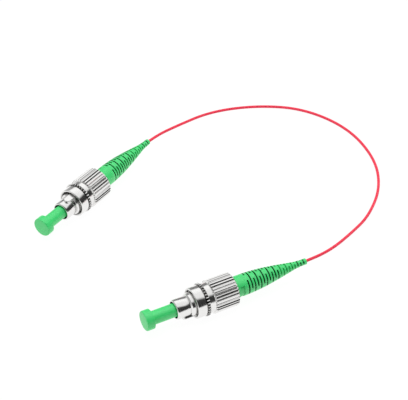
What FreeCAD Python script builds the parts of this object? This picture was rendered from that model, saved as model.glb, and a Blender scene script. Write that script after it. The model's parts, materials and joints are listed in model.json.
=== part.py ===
import FreeCAD, Part
import math
import os

# A short patch cord: two round plugs with dust caps, joined by one thin cable that lies in an open loop.
# Millimetres, +Z up, floor at z = 0. A plug is modelled along its own axis u, from the front rim of its
# barrel (u = 0) back to the tip of its boot, with r as the radius, and is then turned and laid where it rests.

Vec = FreeCAD.Vector
axis_dir = Vec(1, 0, 0)

# Where the plugs lie: the floor point under the barrel's front rim and the heading of u; the turn of the key
# and of the boot about the axis, from straight up towards the near side; how far the nut rests back from the
# middle of its play, and how far the dust cap stands out
plugs = {
    "front": {
        "at": (1.91, -35.36),
        "heading": 28.09,
        "key_turn": 140.0,
        "boot_turn": 11.0,
        "nut_back": 0.65,
        "cap_out": 0.45,
    },
    "rear": {
        "at": (-32.88, 6.89),
        "heading": 54.0,
        "key_turn": 9.0,
        "boot_turn": 198.0,
        "nut_back": 0.0,
        "cap_out": 0.0,
    },
}

# Dust cap
cap_front_u = -8.95
cap_head_r = 2.97
cap_head_length = 2.33
cap_cone_length = 0.2
cap_stem_r = 2.0
cap_stem_end_u = 3.3
cap_bore_r = 1.28
cap_bore_front_u = -2.2
cap_face_edge = 0.36
cap_face_bevel = 0.1

# Ferrule with its glass fibre and buffered fibre
ferrule_r = 1.2495
ferrule_tip_u = -1.0
ferrule_rear_u = 8.6
ferrule_cone_u = -0.3
ferrule_cone_r = 0.85
ferrule_bore_r = 0.066
end_face_tilt = 8.0
glass_r = 0.0625
buffer_r = 0.45
buffer_front_u = 8.7
buffer_end_u = 37.3

# Flange on the ferrule
flange_r = 2.2
flange_front_u = 6.05
flange_rear_u = 8.9
flange_bore_r = 1.26
tail_r = 1.0
tail_bore_r = 0.48
tail_rear_u = 14.6
keyway_width = 0.8
keyway_floor_r = 1.75

# Barrel
barrel_r = 2.95
barrel_rim_r = 2.72
barrel_rim_length = 0.25
barrel_bore_r = 2.5
barrel_floor_u = 5.0
barrel_wall_length = 1.0
ferrule_hole_r = 1.6
spring_bore_r = 2.35
neck_u = 3.85
neck_r = 2.75
shoulder_u = 4.1
shoulder_cone_length = 0.4
shoulder_front_r = 3.05
shoulder_r = 3.45
shoulder_rear_u = 7.4
hub_r = 3.0
barrel_rear_u = 13.6
key_front_u = 1.7
key_width = 2.15
key_top_r = 3.55
key_edge = 0.2
rib_width = 0.6
rib_floor_r = 1.9
rib_length = 2.0

# Coupling nut
nut_front_u = 4.96
nut_rear_u = 18.08
collar_r = 4.6
collar_chamfer = 0.25
undercut_front_u = 7.62
undercut_r = 4.3
ring_front_u = 7.92
ring_rear_u = 8.75
nut_band_r = 4.5
knurl_front_u = 10.41
nut_r = 5.0
knurl_chamfer = 0.3
knurl_teeth = 34
knurl_depth = 0.42
knurl_crest_share = 0.45
ring_notches = 34
notch_width = 0.4
notch_floor_r = 4.56
thread_bore_r = 3.9
mouth_chamfer = 0.25
lip_front_u = 10.5
lip_rear_u = 12.8
lip_r = 3.06
ring_groove_u = (11.3, 12.0)
ring_groove_r = 3.55
nut_rear_bore_r = 3.3

# Split ring inside the nut
split_ring_u = (11.4, 11.9)
split_ring_r = (3.04, 3.4)
split_ring_gap = 40.0

# Rear body
spigot_front_u = 11.0
spigot_r = 2.33
spring_seat_r = 1.95
spring_seat_u = 13.9
stop_r = 3.2
stop_rear_u = 14.4
shank_r = 2.0
shank_rear_u = 21.5
tail_hole_r = 1.1

# Ferrule spring
wire_r = 0.225
coil_r = 1.6
coil_turns = 5
coil_end_gap = 0.02
coil_steps = 10
wire_sides = 6

# Boot
boot_front_u = 14.45
boot_r = 3.15
boot_front_chamfer = 0.3
boot_socket_r = 2.03
boot_socket_rear_u = 22.0
boot_throat_length = 1.2
boot_bore_r = 0.6
boot_taper = [
    (23.0, 3.15),
    (26.0, 3.0),
    (29.0, 2.72),
    (33.0, 2.15),
    (39.3, 1.08),
    (41.2, 0.94),
    (43.05, 0.92),
]
boot_end_chamfer = 0.15
first_slot_u = 22.7
slot_pitch = 1.012
slot_width = 0.42
slot_depths = 11 * [1.3] + 6 * [0.4] + 3 * [0.25]
slot_bridge = 36.0
slot_floor_sides = 3
window_u = (20.1, 21.25)
window_depth = 0.25
window_sweep = 96.0
window_turn = 90.0

# Cable: it enters each boot along the plug's axis, comes down to the floor and lies there in one open loop
cable_r = 0.45
cable_sides = 8
cable_inner_u = 39.0
cable_bend_u = 46.0
cable_floor_points = [
    (1.19, 50.65, 4.4),
    (12.69, 61.15, 2.6),
    (28.19, 66.65, 1.0),
    (43.69, 65.65, cable_r),
    (57.69, 55.15, cable_r),
    (65.19, 39.15, cable_r),
    (65.69, 24.15, cable_r),
    (60.69, 9.65, 1.0),
    (54.19, -0.35, 2.6),
    (48.19, -8.85, 4.4),
]
bend_share = 0.45

# Cutters reach this far past the faces that they cut; heights closer than this are level
over = 1.0
level = 1e-6


def turned(outline, sweep=360.0):
    # Revolves a closed outline of (u, r) corners about the plug's axis
    corners = [Vec(u, 0, r) for u, r in outline]
    face = Part.Face(Part.makePolygon(corners + corners[:1]))
    return face.revolve(Vec(0, 0, 0), axis_dir, sweep)


def rod(radius, u0, u1):
    return Part.makeCylinder(radius, u1 - u0, Vec(u0, 0, 0), axis_dir)


def about_axis(shape, angle):
    spun = shape.copy()
    spun.rotate(Vec(0, 0, 0), axis_dir, angle)
    return spun


def across_axis(u, turn, radius):
    # The point at this place along the axis, turned from straight up
    return Vec(u, radius * math.sin(turn), radius * math.cos(turn))


def upright_box(u0, u1, width, r0, r1):
    # A block that stands on the axis plane, centred across it
    return Part.makeBox(u1 - u0, width, r1 - r0, Vec(u0, -width / 2, r0))


def dust_cap():
    head_rear_u = cap_front_u + cap_head_length
    return turned([
        (cap_front_u, 0),
        (cap_front_u, cap_head_r - cap_face_edge),
        (cap_front_u + cap_face_bevel, cap_head_r - cap_face_bevel),
        (cap_front_u + cap_face_edge, cap_head_r),
        (head_rear_u, cap_head_r),
        (head_rear_u + cap_cone_length, cap_stem_r),
        (cap_stem_end_u, cap_stem_r),
        (cap_stem_end_u, cap_bore_r),
        (cap_bore_front_u, cap_bore_r),
        (cap_bore_front_u, 0),
    ])


def behind_end_face():
    # All that lies behind the ferrule's angled end face
    reach = 2 * ferrule_rear_u
    block = Part.makeBox(reach, reach, reach, Vec(0, -reach / 2, -reach / 2))
    block.rotate(Vec(0, 0, 0), Vec(0, 1, 0), end_face_tilt)
    block.translate(Vec(ferrule_tip_u, 0, 0))
    return block


def ferrule():
    # The cone starts ahead of the end face, which then cuts it at an angle
    blank_front_u = ferrule_tip_u - ferrule_cone_r * math.tan(math.radians(end_face_tilt))
    body = turned([
        (blank_front_u, ferrule_bore_r),
        (blank_front_u, ferrule_cone_r),
        (ferrule_cone_u, ferrule_r),
        (ferrule_rear_u, ferrule_r),
        (ferrule_rear_u, ferrule_bore_r),
    ])
    return body.common(behind_end_face())


def glass_fibre():
    return rod(glass_r, ferrule_tip_u - over, buffer_front_u).common(behind_end_face())


def buffer_end():
    return rod(buffer_r, buffer_front_u, buffer_end_u)


def ferrule_flange():
    body = turned([
        (flange_front_u, flange_bore_r),
        (flange_front_u, flange_r),
        (flange_rear_u, flange_r),
        (flange_rear_u, tail_r),
        (tail_rear_u, tail_r),
        (tail_rear_u, tail_bore_r),
        (ferrule_rear_u, tail_bore_r),
        (ferrule_rear_u, flange_bore_r),
    ])
    keyway = upright_box(flange_front_u - over, flange_rear_u, keyway_width, keyway_floor_r, flange_r + over)
    return body.cut([about_axis(keyway, 90), about_axis(keyway, -90)])


def key_lug():
    # A tongue with a round nose, set on the barrel and run back into its shoulder
    nose_u = key_front_u + key_width / 2
    nose = Part.makeCylinder(key_width / 2, key_top_r, Vec(nose_u, 0, 0), Vec(0, 0, 1))
    tongue = upright_box(nose_u, shoulder_rear_u, key_width, 0, key_top_r)
    lug = nose.fuse(tongue).removeSplitter()
    top = [edge for edge in lug.Edges if all(abs(v.Z - key_top_r) < level for v in edge.Vertexes)]
    lug = lug.makeChamfer(key_edge, top)
    return lug.cut(rod(barrel_bore_r + over / 4, 0, shoulder_rear_u + over))


def plug_barrel():
    cavity_u = barrel_floor_u + barrel_wall_length
    body = turned([
        (0, barrel_bore_r),
        (0, barrel_rim_r),
        (barrel_rim_length, barrel_r),
        (neck_u, barrel_r),
        (neck_u, neck_r),
        (shoulder_u, neck_r),
        (shoulder_u, shoulder_front_r),
        (shoulder_u + shoulder_cone_length, shoulder_r),
        (shoulder_rear_u, shoulder_r),
        (shoulder_rear_u, hub_r),
        (barrel_rear_u, hub_r),
        (barrel_rear_u, spring_bore_r),
        (cavity_u, spring_bore_r),
        (cavity_u, ferrule_hole_r),
        (barrel_floor_u, ferrule_hole_r),
        (barrel_floor_u, barrel_bore_r),
    ])
    rib_top_r = spring_bore_r + over / 4
    rib = upright_box(cavity_u - over / 2, cavity_u + rib_length, rib_width, rib_floor_r, rib_top_r)
    return body.fuse([key_lug(), about_axis(rib, 90), about_axis(rib, -90)]).removeSplitter()


def flat_sided(u, apothem):
    # A closed outline across the axis with one flat for each ridge of the knurl
    corner_r = apothem / math.cos(math.pi / knurl_teeth)
    turns = [2 * math.pi * (side + 0.5) / knurl_teeth for side in range(knurl_teeth)]
    corners = [across_axis(u, turn, corner_r) for turn in turns]
    return Part.makePolygon(corners + corners[:1])


def knurled_barrel():
    # Straight ridges with flat crests and narrow flutes between them, chamfered at both ends
    pitch = 2 * math.pi / knurl_teeth
    half_crest = knurl_crest_share * pitch / 2
    corners = []
    for tooth in range(knurl_teeth):
        middle = tooth * pitch
        corners.append(across_axis(knurl_front_u, middle - half_crest, nut_r))
        corners.append(across_axis(knurl_front_u, middle + half_crest, nut_r))
        corners.append(across_axis(knurl_front_u, middle + pitch / 2, nut_r - knurl_depth))
    face = Part.Face(Part.makePolygon(corners + corners[:1]))
    ridges = face.extrude(Vec(nut_rear_u - knurl_front_u, 0, 0))
    hull = Part.makeLoft([
        flat_sided(knurl_front_u, nut_r - knurl_chamfer),
        flat_sided(knurl_front_u + knurl_chamfer, nut_r),
        flat_sided(nut_rear_u - knurl_chamfer, nut_r),
        flat_sided(nut_rear_u, nut_r - knurl_chamfer),
    ], True, True)
    return ridges.common(hull)


def coupling_nut():
    front = turned([
        (nut_front_u, thread_bore_r + mouth_chamfer),
        (nut_front_u, collar_r - collar_chamfer),
        (nut_front_u + collar_chamfer, collar_r),
        (undercut_front_u, collar_r),
        (undercut_front_u, undercut_r),
        (ring_front_u, undercut_r),
        (ring_front_u, nut_r),
        (ring_rear_u, nut_r),
        (ring_rear_u, nut_band_r),
        (knurl_front_u, nut_band_r),
        (knurl_front_u, lip_r),
        (nut_front_u + mouth_chamfer, thread_bore_r),
    ])
    inside = turned([
        (nut_front_u - over, 0),
        (nut_front_u - over, thread_bore_r),
        (lip_front_u, thread_bore_r),
        (lip_front_u, lip_r),
        (ring_groove_u[0], lip_r),
        (ring_groove_u[0], ring_groove_r),
        (ring_groove_u[1], ring_groove_r),
        (ring_groove_u[1], lip_r),
        (lip_rear_u, lip_r),
        (lip_rear_u, nut_rear_bore_r),
        (nut_rear_u + over, nut_rear_bore_r),
        (nut_rear_u + over, 0),
    ])
    # Each notch runs from the undercut through the whole ring
    notch_u = ((undercut_front_u + ring_front_u) / 2, (ring_rear_u + knurl_front_u) / 2)
    notch = upright_box(notch_u[0], notch_u[1], notch_width, notch_floor_r, nut_r + over)
    notches = [about_axis(notch, 360.0 * (n + 0.5) / ring_notches) for n in range(ring_notches)]
    body = front.fuse(knurled_barrel()).removeSplitter()
    return body.cut([inside] + notches)


def nut_ring():
    u0, u1 = split_ring_u
    r0, r1 = split_ring_r
    return turned([(u0, r0), (u0, r1), (u1, r1), (u1, r0)], 360.0 - split_ring_gap)


def rear_body():
    return turned([
        (spigot_front_u, spring_seat_r),
        (spigot_front_u, spigot_r),
        (barrel_rear_u, spigot_r),
        (barrel_rear_u, stop_r),
        (stop_rear_u, stop_r),
        (stop_rear_u, shank_r),
        (shank_rear_u, shank_r),
        (shank_rear_u, tail_hole_r),
        (spring_seat_u, tail_hole_r),
        (spring_seat_u, spring_seat_r),
    ])


def ferrule_spring():
    # A coil of short straight steps, with a section of a few flat sides, because it is small and closed in
    start_u = flange_rear_u + wire_r + coil_end_gap
    end_u = spring_seat_u - wire_r - coil_end_gap
    steps = coil_turns * coil_steps
    rings = []
    for step in range(steps + 1):
        turn = 2 * math.pi * step / coil_steps
        u = start_u + (end_u - start_u) * step / steps
        ring = []
        for side in range(wire_sides):
            around = 2 * math.pi * side / wire_sides
            ring.append(across_axis(u + wire_r * math.sin(around), turn, coil_r + wire_r * math.cos(around)))
        rings.append(Part.makePolygon(ring + ring[:1]))
    return Part.makeLoft(rings, True, True)


def boot_outer_r(u):
    for (u0, r0), (u1, r1) in zip(boot_taper, boot_taper[1:]):
        if u0 < u <= u1:
            return r0 + (r1 - r0) * (u - u0) / (u1 - u0)
    return boot_r


def sector(u0, u1, floor_r, sweep):
    # What lies outside this radius over part of a turn, with a floor of a few flats
    swept = math.radians(sweep)
    turns = [swept * (side / slot_floor_sides - 0.5) for side in range(slot_floor_sides + 1)]
    corners = [across_axis(u0, turn, floor_r) for turn in turns]
    corners += [across_axis(u0, turn, boot_r + over) for turn in reversed(turns)]
    return Part.Face(Part.makePolygon(corners + corners[:1])).extrude(Vec(u1 - u0, 0, 0))


def slot_pair(row):
    # Two facing slots of one row; every second row is turned a quarter
    slot_u = first_slot_u + row * slot_pitch - slot_width / 2
    floor_r = boot_outer_r(slot_u) - slot_depths[row]
    slot = sector(slot_u, slot_u + slot_width, floor_r, 180.0 - slot_bridge)
    first_turn = 90.0 * ((row + 1) % 2)
    return [about_axis(slot, first_turn), about_axis(slot, first_turn + 180.0)]


def boot():
    end_u, end_r = boot_taper[-1]
    throat_u = boot_socket_rear_u + boot_throat_length
    outline = [
        (boot_front_u, boot_socket_r),
        (boot_front_u, boot_r - boot_front_chamfer),
        (boot_front_u + boot_front_chamfer, boot_r),
    ]
    outline += boot_taper[:-1]
    outline += [
        (end_u - boot_end_chamfer, end_r),
        (end_u, end_r - boot_end_chamfer),
        (end_u, boot_bore_r),
        (throat_u, boot_bore_r),
        (boot_socket_rear_u, boot_socket_r),
    ]
    slots = [slot for row in range(len(slot_depths)) for slot in slot_pair(row)]
    window = sector(window_u[0], window_u[1], boot_r - window_depth, window_sweep)
    return turned(outline).cut(slots + [about_axis(window, window_turn)])


def moved_back(shape, distance):
    moved = shape.copy()
    moved.translate(axis_dir * distance)
    return moved


def plug_frame(plug):
    x, y = plug["at"]
    return FreeCAD.Placement(Vec(x, y, nut_r), FreeCAD.Rotation(Vec(0, 0, 1), plug["heading"]))


def cable_route():
    def on_axis(name, u):
        return plug_frame(plugs[name]).multVec(Vec(u, 0, 0))

    route = [on_axis("rear", cable_inner_u), on_axis("rear", cable_bend_u)]
    route += [Vec(*point) for point in cable_floor_points]
    return route + [on_axis("front", cable_bend_u), on_axis("front", cable_inner_u)]


def cable_section(at, heading):
    # A many-sided section, as good as round at this size, so that the long thin tube stays light
    across = Vec(0, 0, 1).cross(heading).normalize()
    rise = heading.cross(across).normalize()
    corners = []
    for side in range(cable_sides):
        around = 2 * math.pi * side / cable_sides
        corners.append(at + across * (cable_r * math.sin(around)) + rise * (cable_r * math.cos(around)))
    return Part.Face(Part.makePolygon(corners + corners[:1]))


def cable():
    # Straight runs joined by tangent arcs, each as large as its two runs allow
    route = cable_route()
    section = cable_section(route[0], route[1] - route[0])
    section_area = section.Area
    pieces, radii, length = [], [], 0.0
    last = route[0]
    for before, corner, after in zip(route, route[1:], route[2:]):
        into, out = corner - before, after - corner
        turn = into.getAngle(out)
        reach = bend_share * min(into.Length, out.Length)
        radius = reach / math.tan(turn / 2)
        hinge = into.cross(out).normalize()
        start = corner - into.normalize() * reach
        centre = start + hinge.cross(into) * radius
        pieces.append(section.extrude(start - last))
        section.translate(start - last)
        pieces.append(section.revolve(centre, hinge, math.degrees(turn)))
        section.rotate(centre, hinge, math.degrees(turn))
        length += (start - last).Length + radius * turn
        radii.append(radius)
        last = corner + out.normalize() * reach
    pieces.append(section.extrude(route[-1] - last))
    length += (route[-1] - last).Length
    tube = pieces[0].multiFuse(pieces[1:]).removeSplitter()
    share = tube.Volume / (section_area * length)
    print("cable: length %.1f, volume over section times length %.4f" % (length, share))
    print("cable: radii " + " ".join("%.1f" % radius for radius in radii))
    return tube


def save(name, shape):
    solids = shape.Solids
    print("%-22s %d solid, valid %s, %.2f mm3" % (name, len(solids), shape.isValid(), shape.Volume))
    solids[0].exportStep("parts/%s.step" % name)


def build():
    os.makedirs("parts", exist_ok=True)
    key_pieces = {
        "ferrule": ferrule(),
        "glass_fibre": glass_fibre(),
        "buffer_end": buffer_end(),
        "ferrule_flange": ferrule_flange(),
        "plug_barrel": plug_barrel(),
    }
    fixed_pieces = {"ferrule_spring": ferrule_spring(), "rear_body": rear_body()}
    nut_pieces = {"coupling_nut": coupling_nut(), "nut_ring": nut_ring()}
    cap = dust_cap()
    slotted_boot = boot()
    for name, plug in plugs.items():
        laid = dict(fixed_pieces)
        laid["dust_cap"] = moved_back(cap, -plug["cap_out"])
        laid["boot"] = about_axis(slotted_boot, plug["boot_turn"])
        for piece, shape in nut_pieces.items():
            laid[piece] = moved_back(shape, plug["nut_back"])
        for piece, shape in key_pieces.items():
            laid[piece] = about_axis(shape, plug["key_turn"])
        for piece, shape in laid.items():
            save("%s_%s" % (name, piece), shape.transformed(plug_frame(plug).toMatrix()))
    save("cable", cable())


build()
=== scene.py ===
import json
import math

import bmesh
import bpy
from mathutils import Matrix, Vector


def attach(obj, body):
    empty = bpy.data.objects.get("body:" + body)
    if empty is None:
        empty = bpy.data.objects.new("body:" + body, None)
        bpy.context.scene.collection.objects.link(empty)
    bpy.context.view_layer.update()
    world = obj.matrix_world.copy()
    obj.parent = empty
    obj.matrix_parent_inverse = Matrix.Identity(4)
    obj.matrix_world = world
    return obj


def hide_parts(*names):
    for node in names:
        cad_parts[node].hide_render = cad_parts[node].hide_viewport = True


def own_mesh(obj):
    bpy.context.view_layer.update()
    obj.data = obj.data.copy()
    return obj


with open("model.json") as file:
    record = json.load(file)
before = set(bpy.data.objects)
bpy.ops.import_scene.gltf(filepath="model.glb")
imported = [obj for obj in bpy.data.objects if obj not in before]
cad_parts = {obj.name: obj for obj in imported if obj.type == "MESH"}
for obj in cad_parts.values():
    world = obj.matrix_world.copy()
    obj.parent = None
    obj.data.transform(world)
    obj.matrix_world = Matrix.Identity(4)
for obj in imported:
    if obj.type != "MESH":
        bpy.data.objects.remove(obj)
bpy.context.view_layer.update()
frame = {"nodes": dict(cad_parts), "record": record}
print("frame loaded:", len(frame["nodes"]), "nodes")

# A plug is modelled in millimetres along its own axis, u from the barrel's front rim towards the boot,
# and is then laid in the frame. Turns about the axis are degrees from straight up towards the viewer.
mm = 0.001
near = 1e-3  # millimetres within which two places count as the same
mergeDistance = 2e-4  # millimetres
sharpAngle = 40  # edges that turn by more than these degrees stay sharp
plugs = {
    "front": {"keyTurn": 140, "bootTurn": 11, "nutBack": 0.65, "capOut": 0.45},
    "rear": {"keyTurn": 9, "bootTurn": 198, "nutBack": 0, "capOut": 0},
}


def plugPlace(side):
    mount = next(m for m in frame["record"]["mounts"] if m["name"] == side + "_plug_face")
    along = -Vector(mount["axis"])
    up = Vector((0, 0, 1))
    turn = Matrix((along, up.cross(along), up)).transposed().to_4x4()
    return Matrix.Translation(mount["pos_m"]) @ turn @ Matrix.Scale(mm, 4)


for side in plugs:
    plugs[side]["place"] = plugPlace(side)


# Scene helpers

def addObject(name, data):
    obj = bpy.data.objects.new(name, data)
    bpy.context.scene.collection.objects.link(obj)
    return obj


def meshFrom(bm, name):
    mesh = bpy.data.meshes.new(name)
    bm.to_mesh(mesh)
    bm.free()
    return mesh


def aim(obj, at, to):
    obj.location = at
    obj.rotation_euler = (Vector(to) - Vector(at)).to_track_quat("-Z", "Y").to_euler()


def startMaterial(name):
    material = bpy.data.materials.new(name)
    material.use_nodes = True
    return material, material.node_tree.nodes["Principled BSDF"]


def setInputs(node, values):
    for label, value in values.items():
        node.inputs[label].default_value = value


# Stage: floor, light and camera

view = {
    "at": (0.01036, -0.32235, 0.28604),
    "target": (0.01036, 0.01255, 0.005),
    "lens": 126.4,
    "sensor": 36,
}
stage = {
    "size": 6.0,
    "drop": 0.00002,  # keeps it just clear of what lies on it
    "colour": (0.06, 0.06, 0.06, 1),
    "rough": 0.85,
    "specular": 0.1,
    "glowColour": (1, 1, 1, 1),
    "glow": 0.96,
}
sky = {
    "seen": (1, 1, 1, 1),
    # a wide soft box overhead: each edge fades in from the first slope off straight up to the second
    "nearEdge": (-0.62, -0.22),
    "farEdge": (1.75, 1.25),
    "sideEdge": (1.5, 0.9),
    "box": 1.15,
    "lowest": 0.02,  # heights below this count as this one
    # the room round the box: dim behind the viewer, lighter beyond the object and to its left
    "room": (0.045, 0.3),
    "roomTurn": (0.15, 0.65),
    "left": 0.6,
    "leftTurn": (-0.1, -0.45),
}
# a soft light overhead, what the floor throws back up at the under sides, and a fill from the right
lights = {
    "keyLight": {"at": (0.0, 0.02, 0.45), "to": (0, 0, 0), "size": 0.35, "power": 1.38},
    "floorBounce": {"at": (0.01, 0.01, -0.00001), "to": (0.01, 0.01, 1), "size": 0.35, "power": 0.17},
    "rightFill": {"at": (0.4, 0.25, 0.12), "to": (0, 0, 0), "size": 0.2, "power": 0.6},
}


def makeCamera():
    data = bpy.data.cameras.new("camera")
    data.lens = view["lens"]
    data.sensor_width = view["sensor"]
    camera = addObject("camera", data)
    aim(camera, view["at"], view["target"])
    bpy.context.scene.camera = camera


def makeFloor():
    bm = bmesh.new()
    bmesh.ops.create_grid(bm, x_segments=1, y_segments=1, size=stage["size"] / 2)
    bmesh.ops.translate(bm, verts=bm.verts, vec=(0, 0, -stage["drop"]))
    floor = addObject("floor", meshFrom(bm, "floor"))
    material, shader = startMaterial("paleFloor")
    setInputs(shader, {
        "Base Color": stage["colour"],
        "Roughness": stage["rough"],
        "Specular IOR Level": stage["specular"],
        "Emission Color": stage["glowColour"],
        "Emission Strength": stage["glow"],
    })
    floor.data.materials.append(material)


def makeSky():
    world = bpy.data.worlds.new("studio")
    bpy.context.scene.world = world
    world.use_nodes = True
    nodes, links = world.node_tree.nodes, world.node_tree.links
    nodes.clear()

    def calc(operation, first, second=0.0):
        node = nodes.new("ShaderNodeMath")
        node.operation = operation
        for socket, value in zip(node.inputs, (first, second)):
            if isinstance(value, float):
                socket.default_value = value
            else:
                links.new(value, socket)
        return node.outputs["Value"]

    def fade(value, ends, low=0.0, high=1.0):
        node = nodes.new("ShaderNodeMapRange")
        node.interpolation_type = "SMOOTHSTEP"
        setInputs(node, {"From Min": ends[0], "From Max": ends[1], "To Min": low, "To Max": high})
        links.new(value, node.inputs["Value"])
        return node.outputs["Result"]

    coords = nodes.new("ShaderNodeTexCoord")
    split = nodes.new("ShaderNodeSeparateXYZ")
    links.new(coords.outputs["Generated"], split.inputs["Vector"])
    height = calc("MAXIMUM", split.outputs["Z"], sky["lowest"])
    depthSlope = calc("DIVIDE", split.outputs["Y"], height)
    sideSlope = calc("ABSOLUTE", calc("DIVIDE", split.outputs["X"], height))
    box = calc("MULTIPLY", fade(depthSlope, sky["nearEdge"]), fade(depthSlope, sky["farEdge"]))
    box = calc("MULTIPLY", box, fade(sideSlope, sky["sideEdge"]))
    room = fade(split.outputs["Y"], sky["roomTurn"], *sky["room"])
    left = fade(split.outputs["X"], sky["leftTurn"], 0.0, sky["left"])
    bright = calc("MAXIMUM", calc("ADD", calc("MULTIPLY", box, sky["box"]), room), left)

    tent = nodes.new("ShaderNodeBackground")
    seen = nodes.new("ShaderNodeBackground")
    seen.inputs["Color"].default_value = sky["seen"]
    path = nodes.new("ShaderNodeLightPath")
    mix = nodes.new("ShaderNodeMixShader")
    out = nodes.new("ShaderNodeOutputWorld")
    links.new(bright, tent.inputs["Strength"])
    links.new(path.outputs["Is Camera Ray"], mix.inputs["Fac"])
    links.new(tent.outputs["Background"], mix.inputs[1])
    links.new(seen.outputs["Background"], mix.inputs[2])
    links.new(mix.outputs["Shader"], out.inputs["Surface"])


def makeLight(name):
    look = lights[name]
    data = bpy.data.lights.new(name, "AREA")
    data.size = look["size"]
    data.energy = look["power"]
    light = addObject(name, data)
    light.visible_camera = False
    light.visible_glossy = False
    aim(light, look["at"], look["to"])


makeCamera()
makeFloor()
makeSky()
for name in lights:
    makeLight(name)
bpy.context.scene.view_settings.view_transform = "Standard"
print("stage ready")


# Finishes

noiseDetail = {"grain": 3, "sheen": 2, "rings": 4, "plate": 3}
plateScale = 0.6  # patches on the turned metals, in patches to the millimetre
skinInputs = {"Smooth": "Float", "Rough": "Float", "Light": "Color", "Dark": "Color"}
skinOutputs = {"Colour": "Color", "Roughness": "Float", "Height": "Float"}


def nodeGroup(name, inputs, outputs):
    group = bpy.data.node_groups.new(name, "ShaderNodeTree")
    for label, kind in inputs.items():
        group.interface.new_socket(name=label, in_out="INPUT", socket_type="NodeSocket" + kind)
    for label, kind in outputs.items():
        group.interface.new_socket(name=label, in_out="OUTPUT", socket_type="NodeSocket" + kind)
    return group, group.nodes.new("NodeGroupInput"), group.nodes.new("NodeGroupOutput")


def noise(group, detail):
    node = group.nodes.new("ShaderNodeTexNoise")
    node.inputs["Detail"].default_value = noiseDetail[detail]
    return node


def colourMix(group):
    node = group.nodes.new("ShaderNodeMix")
    node.data_type = "RGBA"
    return node


def addSkin(group, given, made, cloud, height):
    # A cloudy noise wavers between the two colours and the two roughnesses, and a finer one is the height
    links = group.links
    spread = group.nodes.new("ShaderNodeMapRange")
    blend = colourMix(group)
    links.new(cloud.outputs["Fac"], spread.inputs["Value"])
    links.new(given.outputs["Smooth"], spread.inputs["To Min"])
    links.new(given.outputs["Rough"], spread.inputs["To Max"])
    links.new(cloud.outputs["Fac"], blend.inputs["Factor"])
    links.new(given.outputs["Dark"], blend.inputs["A"])
    links.new(given.outputs["Light"], blend.inputs["B"])
    links.new(blend.outputs["Result"], made.inputs["Colour"])
    links.new(spread.outputs["Result"], made.inputs["Roughness"])
    links.new(height.outputs["Fac"], made.inputs["Height"])


def makeMouldedGrain():
    # Fine moulded skin: a grain height, an uneven sheen and a faint drift of colour
    inputs = {"Grain Scale": "Float", "Sheen Scale": "Float", **skinInputs}
    group, given, made = nodeGroup("mouldedGrain", inputs, skinOutputs)
    links = group.links
    coords = group.nodes.new("ShaderNodeTexCoord")
    grain = noise(group, "grain")
    sheen = noise(group, "sheen")
    links.new(coords.outputs["Object"], grain.inputs["Vector"])
    links.new(coords.outputs["Object"], sheen.inputs["Vector"])
    links.new(given.outputs["Grain Scale"], grain.inputs["Scale"])
    links.new(given.outputs["Sheen Scale"], sheen.inputs["Scale"])
    addSkin(group, given, made, sheen, grain)
    return group


def makeTurnedSkin():
    # Turned metal: fine rings along the plug's axis, uneven in depth, and a faintly patchy surface
    inputs = {"Plug": "Vector", "Rings": "Float", **skinInputs}
    group, given, made = nodeGroup("turnedSkin", inputs, skinOutputs)
    links = group.links
    split = group.nodes.new("ShaderNodeSeparateXYZ")
    rings = noise(group, "rings")
    rings.noise_dimensions = "1D"
    plate = noise(group, "plate")
    plate.inputs["Scale"].default_value = plateScale
    links.new(given.outputs["Plug"], split.inputs["Vector"])
    links.new(given.outputs["Plug"], plate.inputs["Vector"])
    links.new(split.outputs["X"], rings.inputs["W"])
    links.new(given.outputs["Rings"], rings.inputs["Scale"])
    addSkin(group, given, made, plate, rings)
    return group


def makeRecessShade():
    # Painted shade in notches, slots and hollows: the mesh's recess attribute says how far each point's
    # colour is darkened towards Deep
    inputs = {"Colour": "Color", "Deep": "Color"}
    group, given, made = nodeGroup("paintedRecessShade", inputs, {"Colour": "Color"})
    links = group.links
    recess = group.nodes.new("ShaderNodeAttribute")
    recess.attribute_name = "recess"
    blend = colourMix(group)
    links.new(recess.outputs["Fac"], blend.inputs["Factor"])
    links.new(given.outputs["Colour"], blend.inputs["A"])
    links.new(given.outputs["Deep"], blend.inputs["B"])
    links.new(blend.outputs["Result"], made.inputs["Colour"])
    return group


mouldedGrain = makeMouldedGrain()
turnedSkin = makeTurnedSkin()
paintedRecessShade = makeRecessShade()

bumpDistance = 0.0002
# each deep colour is painted shade, mixed in where the recess attribute marks slots and hollows
plastics = {
    "greenPlastic": {
        "light": (0.05, 0.62, 0.17, 1), "dark": (0.045, 0.59, 0.15, 1), "deep": (0.006, 0.12, 0.025, 1),
        "smooth": 0.32, "rough": 0.42, "grain": 4000, "sheen": 350, "bump": 0.012,
        "specular": 0.68, "subsurface": 0,
    },
    "redJacket": {
        "light": (0.8, 0.037, 0.081, 1), "dark": (0.77, 0.032, 0.069, 1), "deep": (0.3, 0.01, 0.02, 1),
        "smooth": 0.3, "rough": 0.42, "grain": 6000, "sheen": 350, "bump": 0.03,
        "specular": 0.35, "subsurface": 0,
    },
    "ferruleCeramic": {
        "light": (0.90, 0.89, 0.86, 1), "dark": (0.86, 0.85, 0.82, 1), "deep": (0.6, 0.59, 0.56, 1),
        "smooth": 0.08, "rough": 0.16, "grain": 9000, "sheen": 350, "bump": 0.01,
        "specular": 0.5, "subsurface": 0.15,
    },
}
subsurfaceReach = (0.0006, 0.0006, 0.0006)
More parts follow.
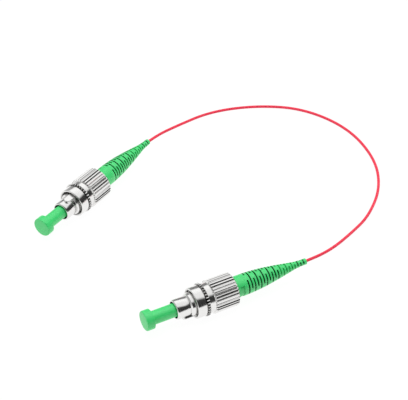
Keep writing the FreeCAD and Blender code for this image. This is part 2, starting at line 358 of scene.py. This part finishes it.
# each deep colour is painted shade, mixed in where the recess attribute marks notches, the undercut and the
# nut's inside
metals = {
    "nickelPlate": {
        "light": (0.85, 0.845, 0.835, 1), "dark": (0.80, 0.795, 0.785, 1), "deep": (0.03, 0.028, 0.025, 1),
        "smooth": 0.14, "rough": 0.19, "rings": 9, "bump": 0.012,
    },
    "flangeSteel": {
        "light": (0.62, 0.61, 0.60, 1), "dark": (0.55, 0.545, 0.535, 1), "deep": (0.2, 0.2, 0.2, 1),
        "smooth": 0.22, "rough": 0.34, "rings": 12, "bump": 0.05,
    },
    "springSteel": {
        "light": (0.55, 0.55, 0.54, 1), "dark": (0.46, 0.46, 0.455, 1), "deep": (0.2, 0.2, 0.2, 1),
        "smooth": 0.2, "rough": 0.3, "rings": 3, "bump": 0.02,
    },
}
glass = {"colour": (0.92, 0.95, 0.97, 1), "rough": 0.03, "clear": 1.0, "ior": 1.46}


def skinMaterial(name, group, look):
    material, shader = startMaterial(name)
    nodes, links = material.node_tree.nodes, material.node_tree.links
    skin = nodes.new("ShaderNodeGroup")
    skin.node_tree = group
    setInputs(skin, {
        "Smooth": look["smooth"],
        "Rough": look["rough"],
        "Light": look["light"],
        "Dark": look["dark"],
    })
    # painted shade: the colour is darkened towards the look's deep colour where the mesh's recess attribute
    # asks
    shade = nodes.new("ShaderNodeGroup")
    shade.node_tree = paintedRecessShade
    shade.inputs["Deep"].default_value = look["deep"]
    bump = nodes.new("ShaderNodeBump")
    setInputs(bump, {"Strength": look["bump"], "Distance": bumpDistance})
    links.new(skin.outputs["Colour"], shade.inputs["Colour"])
    links.new(shade.outputs["Colour"], shader.inputs["Base Color"])
    links.new(skin.outputs["Roughness"], shader.inputs["Roughness"])
    links.new(skin.outputs["Height"], bump.inputs["Height"])
    links.new(bump.outputs["Normal"], shader.inputs["Normal"])
    return material, shader, skin


def plasticMaterial(name):
    look = plastics[name]
    material, shader, skin = skinMaterial(name, mouldedGrain, look)
    setInputs(skin, {"Grain Scale": look["grain"], "Sheen Scale": look["sheen"]})
    setInputs(shader, {
        "Specular IOR Level": look["specular"],
        "Subsurface Weight": look["subsurface"],
        "Subsurface Radius": subsurfaceReach,
        "Subsurface Scale": 1.0,
    })
    return material


def metalMaterial(name, side):
    look = metals[name]
    material, shader, skin = skinMaterial("%s.%s" % (name, side), turnedSkin, look)
    nodes, links = material.node_tree.nodes, material.node_tree.links
    coords = nodes.new("ShaderNodeTexCoord")
    lay = nodes.new("ShaderNodeMapping")
    lay.vector_type = "TEXTURE"
    place = plugs[side]["place"]
    setInputs(lay, {
        "Location": place.translation,
        "Rotation": place.to_euler(),
        "Scale": (mm, mm, mm),
    })
    skin.inputs["Rings"].default_value = look["rings"]
    shader.inputs["Metallic"].default_value = 1.0
    links.new(coords.outputs["Object"], lay.inputs["Vector"])
    links.new(lay.outputs["Vector"], skin.inputs["Plug"])
    return material


def glassMaterial():
    material, shader = startMaterial("fibreGlass")
    setInputs(shader, {
        "Base Color": glass["colour"],
        "Roughness": glass["rough"],
        "Transmission Weight": glass["clear"],
        "IOR": glass["ior"],
    })
    return material


finish = {name: plasticMaterial(name) for name in plastics}
finish["fibreGlass"] = glassMaterial()
for side in plugs:
    for name in metals:
        finish[name, side] = metalMaterial(name, side)
print("finishes ready:", len(finish))


# Modelling helpers

def lathe(outline, steps):
    # Spins a closed outline of (u, r) corners about the plug's axis
    bm = bmesh.new()
    verts = [bm.verts.new((u, 0, r)) for u, r in outline]
    edges = [bm.edges.new(pair) for pair in zip(verts, verts[1:] + verts[:1])]
    bmesh.ops.spin(bm, geom=verts + edges, cent=(0, 0, 0), axis=(1, 0, 0), dvec=(0, 0, 0),
                   angle=2 * math.pi, steps=steps, use_merge=True)
    bmesh.ops.remove_doubles(bm, verts=bm.verts, dist=mergeDistance)
    axisEdges = [e for e in bm.edges if not e.link_faces]
    bmesh.ops.delete(bm, geom=axisEdges, context="EDGES")
    bmesh.ops.recalc_face_normals(bm, faces=bm.faces)
    return bm


def fromAxis(point):
    return math.hypot(point.y, point.z)


def turnOf(point):
    # Degrees from straight up towards the viewer
    return math.degrees(math.atan2(-point.y, point.z))


def ringEdges(bm, u, r):
    def onRing(v):
        return abs(v.co.x - u) < near and abs(fromAxis(v.co) - r) < near

    return [e for e in bm.edges if onRing(e.verts[0]) and onRing(e.verts[1])]


def soften(bm, edges, offset, segments):
    bmesh.ops.bevel(bm, geom=edges, offset=offset, offset_type="OFFSET", affect="EDGES",
                    segments=segments, profile=0.5, material=-1, clamp_overlap=True)


def softenRings(bm, rings, offset, segments):
    for u, r in rings:
        soften(bm, ringEdges(bm, u, r), offset, segments)


def dropSlivers(bm):
    bmesh.ops.remove_doubles(bm, verts=bm.verts, dist=mergeDistance)
    bmesh.ops.dissolve_degenerate(bm, dist=mergeDistance, edges=bm.edges)


def recessLayer(bm):
    layers = bm.verts.layers.float
    return layers.get("recess") or layers.new("recess")


def drawTo(v, radius):
    # Moves a vertex straight in or out to this distance from the axis
    share = radius / fromAxis(v.co)
    v.co.y *= share
    v.co.z *= share


def moveBack(bm, distance):
    bmesh.ops.translate(bm, verts=bm.verts, vec=(distance, 0, 0))


def spinVerts(bm, verts, turn):
    bmesh.ops.rotate(bm, verts=verts, cent=(0, 0, 0), matrix=Matrix.Rotation(math.radians(turn), 3, "X"))


def addPiece(bm, name, side, body, material):
    # Lays a plug's piece in the frame and makes it stand for its node
    bmesh.ops.transform(bm, matrix=plugs[side]["place"], verts=bm.verts)
    mesh = meshFrom(bm, "%s_%s" % (side, name))
    mesh.polygons.foreach_set("use_smooth", [True] * len(mesh.polygons))
    mesh.set_sharp_from_angle(angle=math.radians(sharpAngle))
    mesh.materials.append(material)
    piece = addObject("%s_%s_made" % (side, name), mesh)
    even = piece.modifiers.new("evenShading", "WEIGHTED_NORMAL")
    even.keep_sharp = True
    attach(piece, body)
    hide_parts("%s_%s" % (side, name))
    return piece


# Cable: the route's points, from the rear plug to the front one

cable = {
    "radius": 0.00045,
    # along each plug's axis, in millimetres
    "inside": 39,
    "leaves": 46,
    "bootEnd": 43.05,
    "points": [
        (0.00119, 0.05065, 0.0044),
        (0.01269, 0.06115, 0.0026),
        (0.02819, 0.06665, 0.0010),
        (0.04369, 0.06565, 0.00045),
        (0.05769, 0.05515, 0.00045),
        (0.06519, 0.03915, 0.00045),
        (0.06569, 0.02415, 0.00045),
        (0.06069, 0.00965, 0.0010),
        (0.05419, -0.00035, 0.0026),
        (0.04819, -0.00885, 0.0044),
    ],
    "length": 0.165,
    "stepsPerPoint": 24,
    "roundness": 8,
}


def makeCable():
    def onAxis(side, u):
        return plugs[side]["place"] @ Vector((u, 0, 0))

    route = [onAxis("rear", cable["inside"]), onAxis("rear", cable["leaves"])]
    route += [Vector(p) for p in cable["points"]]
    route += [onAxis("front", cable["leaves"]), onAxis("front", cable["inside"])]
    curve = bpy.data.curves.new("cable", "CURVE")
    curve.dimensions = "3D"
    spline = curve.splines.new("NURBS")
    spline.points.add(len(route) - 1)
    for point, place in zip(spline.points, route):
        point.co = (*place, 1)
    spline.order_u = 3
    spline.use_endpoint_u = True
    spline.resolution_u = cable["stepsPerPoint"]
    curve.bevel_depth = cable["radius"]
    curve.bevel_resolution = cable["roundness"]
    curve.use_fill_caps = True
    curve.materials.append(finish["redJacket"])
    piece = addObject("cable_made", curve)
    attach(piece, "root")
    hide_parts("cable")


makeCable()
print("cable laid")


# Dust cap; an edge is its size and its steps, here and in the other pieces

cap = {
    "front": -8.95, "headRadius": 2.97, "headLength": 2.33, "cone": 0.2,
    "stemRadius": 2.0, "stemEnd": 3.3, "boreRadius": 1.28, "boreFront": -2.2,
    "faceEdge": (0.34, 6), "headEdge": (0.14, 4), "stemFoot": (0.12, 4), "stemEdge": (0.2, 3),
    "steps": 120,
}


def makeCap(side):
    headRear = cap["front"] + cap["headLength"]
    bm = lathe([
        (cap["front"], 0),
        (cap["front"], cap["headRadius"]),
        (headRear, cap["headRadius"]),
        (headRear + cap["cone"], cap["stemRadius"]),
        (cap["stemEnd"], cap["stemRadius"]),
        (cap["stemEnd"], cap["boreRadius"]),
        (cap["boreFront"], cap["boreRadius"]),
        (cap["boreFront"], 0),
    ], cap["steps"])
    softenRings(bm, [(cap["front"], cap["headRadius"])], *cap["faceEdge"])
    softenRings(bm, [(headRear, cap["headRadius"])], *cap["headEdge"])
    softenRings(bm, [(headRear + cap["cone"], cap["stemRadius"])], *cap["stemFoot"])
    softenRings(bm, [(cap["stemEnd"], cap["stemRadius"])], *cap["stemEdge"])
    moveBack(bm, -plugs[side]["capOut"])
    addPiece(bm, "dust_cap", side, side + "_cap", finish["greenPlastic"])


for side in plugs:
    makeCap(side)
print("dust caps made")


# Ferrule

ferrule = {
    "tip": -1.0, "rear": 8.6, "radius": 1.2495, "bore": 0.066,
    "coneEnd": -0.3, "coneRadius": 0.85, "coneEdge": (0.08, 2),
    "tilt": 8.0, "cutSnap": 1e-6,
    "steps": 96,
}


def makeFerrule(side):
    tilt = math.radians(ferrule["tilt"])
    blankFront = ferrule["tip"] - ferrule["coneRadius"] * math.tan(tilt)
    bm = lathe([
        (blankFront, ferrule["bore"]),
        (blankFront, ferrule["coneRadius"]),
        (ferrule["coneEnd"], ferrule["radius"]),
        (ferrule["rear"], ferrule["radius"]),
        (ferrule["rear"], ferrule["bore"]),
    ], ferrule["steps"])
    softenRings(bm, [(ferrule["coneEnd"], ferrule["radius"])], *ferrule["coneEdge"])
    cut = bmesh.ops.bisect_plane(bm, geom=bm.verts[:] + bm.edges[:] + bm.faces[:], dist=ferrule["cutSnap"],
                                 plane_co=(ferrule["tip"], 0, 0),
                                 plane_no=(-math.cos(tilt), 0, math.sin(tilt)), clear_outer=True)
    rim = [e for e in cut["geom_cut"] if isinstance(e, bmesh.types.BMEdge)]
    bmesh.ops.bridge_loops(bm, edges=rim)
    bmesh.ops.recalc_face_normals(bm, faces=bm.faces)
    spinVerts(bm, bm.verts, plugs[side]["keyTurn"])
    addPiece(bm, "ferrule", side, side + "_ferrule_unit", finish["ferruleCeramic"])


for side in plugs:
    makeFerrule(side)
print("ferrules made")


# Barrel with its key

barrel = {
    "radius": 2.95, "rimRadius": 2.72, "rim": 0.25, "bore": 2.5, "edge": (0.06, 2),
    "floor": 5.0, "wall": 1.0, "ferruleHole": 1.6, "springBore": 2.35,
    "neck": 3.85, "neckRadius": 2.75,
    "shoulder": 4.1, "shoulderCone": 0.4, "shoulderFront": 3.05, "shoulderRadius": 3.45, "shoulderRear": 7.4,
    "hub": 3.0, "rear": 13.6,
    "keyNose": 1.7, "keyNoseFlat": 0.02, "keyNoseSteps": 10,
    "keyWidth": 2.15, "keyTop": 3.55, "keyFoot": 2.72, "keyEdge": (0.42, 5),
    "ribStart": 5.5, "ribEnd": 8.0, "ribWidth": 0.6, "ribFloor": 1.9, "ribTop": 2.6,
    "steps": 144,
}


def addBlock(bm, start, end, width, foot, top):
    # A block that stands above the axis, centred across it
    corners = bmesh.ops.create_cube(bm, size=1)["verts"]
    bmesh.ops.scale(bm, verts=corners, vec=(end - start, width, top - foot))
    bmesh.ops.translate(bm, verts=corners, vec=((start + end) / 2, 0, (foot + top) / 2))
    return corners


def addRibs(bm):
    # Two ribs inside hold the ferrule's turn
    b = barrel
    for turn in (90, -90):
        corners = addBlock(bm, b["ribStart"], b["ribEnd"], b["ribWidth"], b["ribFloor"], b["ribTop"])
        spinVerts(bm, corners, turn)


def makeKey():
    # A tongue with a round nose and softened top, its foot sunk in the barrel's wall
    b = barrel
    bm = bmesh.new()
    addBlock(bm, b["keyNose"], b["shoulderRear"], b["keyWidth"], b["keyFoot"], b["keyTop"])
    noseEdges = [e for e in bm.edges
                 if all(abs(v.co.x - b["keyNose"]) < near for v in e.verts)
                 and abs(e.verts[0].co.z - e.verts[1].co.z) > near]
    soften(bm, noseEdges, (b["keyWidth"] - b["keyNoseFlat"]) / 2, b["keyNoseSteps"])
    topEdges = [e for e in bm.edges
                if all(abs(v.co.z - b["keyTop"]) < near for v in e.verts)
                and any(abs(f.normal.z) < near for f in e.link_faces)
                and any(v.co.x < b["shoulderRear"] - near for v in e.verts)]
    soften(bm, topEdges, *b["keyEdge"])
    return bm


def joined(bm, other):
    # The union of two closed shapes
    objects = [addObject("part", meshFrom(shape, "part")) for shape in (bm, other)]
    union = objects[0].modifiers.new("union", "BOOLEAN")
    union.operation = "UNION"
    union.solver = "EXACT"
    union.object = objects[1]
    result = bmesh.new()
    result.from_object(objects[0], bpy.context.evaluated_depsgraph_get())
    for obj in objects:
        mesh = obj.data
        bpy.data.objects.remove(obj)
        bpy.data.meshes.remove(mesh)
    return result


def makeBarrel(side):
    b = barrel
    cavity = b["floor"] + b["wall"]
    bm = lathe([
        (0, b["bore"]),
        (0, b["rimRadius"]),
        (b["rim"], b["radius"]),
        (b["neck"], b["radius"]),
        (b["neck"], b["neckRadius"]),
        (b["shoulder"], b["neckRadius"]),
        (b["shoulder"], b["shoulderFront"]),
        (b["shoulder"] + b["shoulderCone"], b["shoulderRadius"]),
        (b["shoulderRear"], b["shoulderRadius"]),
        (b["shoulderRear"], b["hub"]),
        (b["rear"], b["hub"]),
        (b["rear"], b["springBore"]),
        (cavity, b["springBore"]),
        (cavity, b["ferruleHole"]),
        (b["floor"], b["ferruleHole"]),
        (b["floor"], b["bore"]),
    ], b["steps"])
    softenRings(bm, [
        (0, b["rimRadius"]),
        (0, b["bore"]),
        (b["rim"], b["radius"]),
        (b["neck"], b["radius"]),
        (b["shoulder"], b["shoulderFront"]),
    ], *b["edge"])
    lugs = makeKey()
    addRibs(lugs)
    bm = joined(bm, lugs)
    dropSlivers(bm)
    spinVerts(bm, bm.verts, plugs[side]["keyTurn"])
    addPiece(bm, "plug_barrel", side, "root", finish["nickelPlate", side])


for side in plugs:
    makeBarrel(side)
print("barrels made")


# Coupling nut

# undercutShade, notchShade and mouthShade are painted shade: how far the recess attribute darkens those
# places
nut = {
    "front": 4.96, "rear": 18.08, "radius": 5.0, "collarRadius": 4.6, "frontEdge": (0.25, 4),
    "undercut": 7.62, "undercutRadius": 4.3, "undercutShade": 0.5,
    "ring": (7.92, 8.75), "ringEdge": (0.2, 4), "notchFloor": 4.56, "notchShade": 1.0, "toothRound": 0.03,
    "bandRadius": 4.5, "knurlFront": 10.41, "knurlCone": 0.3, "knurlFoot": 4.58,
    "teeth": 34, "stepsPerTooth": 12, "fluteDepth": 0.3, "crestShare": 0.34,
    "mouth": 3.9, "mouthCone": 0.25, "mouthEdge": (0.08, 2), "mouthShade": 0.55,
    "lip": (10.5, 12.8), "lipRadius": 3.06, "ringGroove": (11.3, 12.0), "ringGrooveRadius": 3.55,
    "rearBore": 3.3,
}
thread = {
    "start": 5.5, "pitch": 0.75, "turns": 6, "stepsPerTurn": 72,
    "crest": 3.68, "crestWidth": 0.1, "root": 3.95, "rootShare": 0.85,
}


def toothStep(v):
    # How many steps this point lies from the middle of its tooth
    perTooth = nut["stepsPerTooth"]
    step = round(turnOf(v.co) * nut["teeth"] * perTooth / 360) % perTooth
    return min(step, perTooth - step)


def besideCrest(v):
    # 0 on a tooth's flat crest, rising evenly to 1 halfway to the next tooth
    off = 2 * toothStep(v) / nut["stepsPerTooth"] - nut["crestShare"]
    return max(0, off / (1 - nut["crestShare"]))


def cutKnurl(bm):
    # Straight ridges: each line beside a crest is drawn in, the more the further it lies off
    for v in bm.verts:
        if nut["knurlFront"] < v.co.x < nut["rear"] and abs(fromAxis(v.co) - nut["radius"]) < near:
            drawTo(v, nut["radius"] - nut["fluteDepth"] * besideCrest(v))


def cutNotches(bm):
    # Rounded teeth on the ring, with steep notches between them that carry painted shade
    recess = recessLayer(bm)
    start, end = nut["ring"]
    for v in bm.verts:
        radius = fromAxis(v.co)
        onRing = start - near < v.co.x < end + near and radius > nut["notchFloor"]
        if onRing and besideCrest(v) > 0:
            v[recess] = nut["notchShade"]
            drawTo(v, nut["notchFloor"])
        elif onRing:
            drawTo(v, radius - nut["toothRound"] * toothStep(v) ** 2)


def shadeHollows(bm):
    # Painted shade on the undercut, and on all of the nut's inside
    recess = recessLayer(bm)
    for v in bm.verts:
        if abs(fromAxis(v.co) - nut["undercutRadius"]) < near:
            v[recess] = nut["undercutShade"]
        elif fromAxis(v.co) < nut["mouth"] + nut["mouthCone"]:
            v[recess] = nut["mouthShade"]


def addThread(bm):
    # A helical ridge whose foot is sunk in the mouth's wall
    halfRoot = thread["pitch"] / 2 * thread["rootShare"]
    halfCrest = thread["crestWidth"] / 2
    corners = [(-halfRoot, thread["root"]), (-halfCrest, thread["crest"]),
               (halfCrest, thread["crest"]), (halfRoot, thread["root"])]
    verts = [bm.verts.new((thread["start"] + u, 0, r)) for u, r in corners]
    section = bm.faces.new(verts)
    before = set(bm.faces)
    bmesh.ops.spin(bm, geom=[section] + list(section.edges) + verts, cent=(0, 0, 0), axis=(1, 0, 0),
                   dvec=(thread["pitch"] / thread["stepsPerTurn"], 0, 0),
                   angle=2 * math.pi * thread["turns"],
                   steps=thread["turns"] * thread["stepsPerTurn"], use_merge=False)
    ridge = [f for f in bm.faces if f not in before] + [section]
    bmesh.ops.recalc_face_normals(bm, faces=ridge)


def makeNut(side):
    n = nut
    bm = lathe([
        (n["front"], n["mouth"] + n["mouthCone"]),
        (n["front"], n["collarRadius"]),
        (n["undercut"], n["collarRadius"]),
        (n["undercut"], n["undercutRadius"]),
        (n["ring"][0], n["undercutRadius"]),
        (n["ring"][0], n["radius"]),
        (n["ring"][1], n["radius"]),
        (n["ring"][1], n["bandRadius"]),
        (n["knurlFront"], n["bandRadius"]),
        (n["knurlFront"], n["knurlFoot"]),
        (n["knurlFront"] + n["knurlCone"], n["radius"]),
        (n["rear"] - n["knurlCone"], n["radius"]),
        (n["rear"], n["knurlFoot"]),
        (n["rear"], n["rearBore"]),
        (n["lip"][1], n["rearBore"]),
        (n["lip"][1], n["lipRadius"]),
        (n["ringGroove"][1], n["lipRadius"]),
        (n["ringGroove"][1], n["ringGrooveRadius"]),
        (n["ringGroove"][0], n["ringGrooveRadius"]),
        (n["ringGroove"][0], n["lipRadius"]),
        (n["lip"][0], n["lipRadius"]),
        (n["lip"][0], n["mouth"]),
        (n["front"] + n["mouthCone"], n["mouth"]),
    ], n["teeth"] * n["stepsPerTooth"])
    softenRings(bm, [(n["front"], n["collarRadius"])], *n["frontEdge"])
    softenRings(bm, [(n["front"], n["mouth"] + n["mouthCone"])], *n["mouthEdge"])
    softenRings(bm, [(u, n["radius"]) for u in n["ring"]], *n["ringEdge"])
    cutKnurl(bm)
    cutNotches(bm)
    addThread(bm)
    shadeHollows(bm)
    moveBack(bm, plugs[side]["nutBack"])
    addPiece(bm, "coupling_nut", side, side + "_nut", finish["nickelPlate", side])


for side in plugs:
    makeNut(side)
print("coupling nuts made")


# Boot

boot = {
    "front": 14.45, "radius": 3.15, "frontEdge": (0.3, 4), "endEdge": (0.15, 3),
    "socketRadius": 2.03, "socketEnd": 22.0, "throat": 1.2, "bore": 0.6,
    # where the outline changes its slope, and its radius there
    "taper": [(23.0, 3.15), (26.0, 3.0), (29.0, 2.72), (33.0, 2.15), (39.3, 1.08), (41.2, 0.94),
              (43.05, 0.92)],
    "firstRow": 22.7, "pitch": 1.012, "slotWidth": 0.42, "bridge": 36, "slotEdge": (0.05, 2), "lip": 0.12,
    # rows with the same slots: how many, how deep and how dark their painted shade is
    "rowGroups": [(11, 1.3, 1.0), (6, 0.4, 0.25), (3, 0.25, 1.0)],
    # the window's floor and walls carry a light painted shade
    "window": (20.1, 21.25), "windowTurn": 90, "windowArc": 96, "windowDepth": 0.25, "windowShade": 0.15,
    # recesses lie in this length, their rims turn by more than this angle, and skin is at most this deep
    "rimSpan": (20.0, 42.55), "rimAngle": 50, "skinDepth": 0.05,
    "steps": 120,
}
slotRows = [(depth, shade) for count, depth, shade in boot["rowGroups"] for row in range(count)]


def bootRadius(u):
    for (u0, r0), (u1, r1) in zip(boot["taper"], boot["taper"][1:]):
        if u0 < u <= u1:
            return r0 + (r1 - r0) * (u - u0) / (u1 - u0)
    return boot["radius"]


def rowEnds(row):
    middle = boot["firstRow"] + row * boot["pitch"]
    return middle - boot["slotWidth"] / 2, middle + boot["slotWidth"] / 2


def sinkArea(bm, isInside, depth, shade):
    # Sinks the skin inside an area: steep walls, whose painted shade reaches its full value just below the
    # rim
    recess = recessLayer(bm)
    faces = []
    for face in bm.faces:
        centre = face.calc_center_median()
        onSkin = fromAxis(centre) > bootRadius(centre.x) - boot["skinDepth"]
        if onSkin and isInside(centre.x, turnOf(centre)):
            faces.append(face)
    for drop in (boot["lip"], depth - boot["lip"]):
        sunk = bmesh.ops.extrude_face_region(bm, geom=faces)["geom"]
        bmesh.ops.delete(bm, geom=[f for f in faces if f.is_valid], context="FACES_ONLY")
        for v in (g for g in sunk if isinstance(g, bmesh.types.BMVert)):
            v[recess] = shade
            drawTo(v, fromAxis(v.co) - drop)
        faces = [g for g in sunk if isinstance(g, bmesh.types.BMFace)]


def sinkWindow(bm):
    start, end = boot["window"]

    def isInside(u, turn):
        off = abs((turn - boot["windowTurn"] + 180) % 360 - 180)
        return start < u < end and off < boot["windowArc"] / 2

    sinkArea(bm, isInside, boot["windowDepth"], boot["windowShade"])


def sinkSlots(bm, row):
    # Two facing slots in a row, and every second row a quarter turn on
    start, end = rowEnds(row)
    middle = 90 * ((row + 1) % 2)
    reach = (180 - boot["bridge"]) / 2

    def isInside(u, turn):
        return start < u < end and abs((turn - middle + 90) % 180 - 90) < reach

    sinkArea(bm, isInside, *slotRows[row])


def recessRims(bm):
    start, end = boot["rimSpan"]
    rims = []
    for e in bm.edges:
        onSkin = all(abs(fromAxis(v.co) - bootRadius(v.co.x)) < near for v in e.verts)
        inSpan = start < e.verts[0].co.x < end
        if onSkin and inSpan and e.is_manifold and e.calc_face_angle() > math.radians(boot["rimAngle"]):
            rims.append(e)
    return rims


def makeBoot(side):
    b = boot
    end, endRadius = b["taper"][-1]
    skin = {b["front"], *b["window"], *(u for u, r in b["taper"])}
    for row in range(len(slotRows)):
        skin.update(rowEnds(row))
    outline = [(b["front"], b["socketRadius"])]
    outline += [(u, bootRadius(u)) for u in sorted(skin)]
    outline += [(end, b["bore"]), (b["socketEnd"] + b["throat"], b["bore"])]
    outline += [(b["socketEnd"], b["socketRadius"])]
    bm = lathe(outline, b["steps"])
    softenRings(bm, [(b["front"], b["radius"])], *b["frontEdge"])
    softenRings(bm, [(end, endRadius)], *b["endEdge"])
    sinkWindow(bm)
    for row in range(len(slotRows)):
        sinkSlots(bm, row)
    soften(bm, recessRims(bm), *b["slotEdge"])
    dropSlivers(bm)
    spinVerts(bm, bm.verts, plugs[side]["bootTurn"])
    addPiece(bm, "boot", side, "root", finish["greenPlastic"])


for side in plugs:
    makeBoot(side)
print("boots made")


# Ferrule spring

spring = {
    "start": 8.9, "end": 13.9, "gap": 0.02, "wire": 0.225, "coil": 1.6,
    "turns": 5, "stepsPerTurn": 40, "sides": 12,
    "shortest": 0.7,
}


def makeSpring(side):
    s = spring
    first = s["start"] + s["wire"] + s["gap"]
    last = s["end"] - s["wire"] - s["gap"]
    steps = s["turns"] * s["stepsPerTurn"]
    section = Matrix.Translation((first, 0, s["coil"])) @ Matrix.Rotation(math.pi / 2, 4, "X")
    bm = bmesh.new()
    bmesh.ops.create_circle(bm, cap_ends=True, segments=s["sides"], radius=s["wire"], matrix=section)
    bmesh.ops.spin(bm, geom=bm.verts[:] + bm.edges[:] + bm.faces[:], cent=(0, 0, 0), axis=(1, 0, 0),
                   dvec=((last - first) / steps, 0, 0), angle=2 * math.pi * s["turns"], steps=steps,
                   use_merge=False)
    bmesh.ops.recalc_face_normals(bm, faces=bm.faces)
    piece = addPiece(bm, "ferrule_spring", side, "root", finish["springSteel", side])
    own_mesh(piece)


for side in plugs:
    makeSpring(side)
print("springs made")


# The nodes that stay as they are get their finish

kept = {
    "glass_fibre": "fibreGlass",
    "buffer_end": "redJacket",
    "ferrule_flange": "flangeSteel",
    "nut_ring": "springSteel",
    "rear_body": "nickelPlate",
}
for side in plugs:
    for name, look in kept.items():
        materials = frame["nodes"]["%s_%s" % (side, name)].data.materials
        materials.clear()
        materials.append(finish[look, side] if look in metals else finish[look])
print("kept nodes finished:", len(plugs) * len(kept))
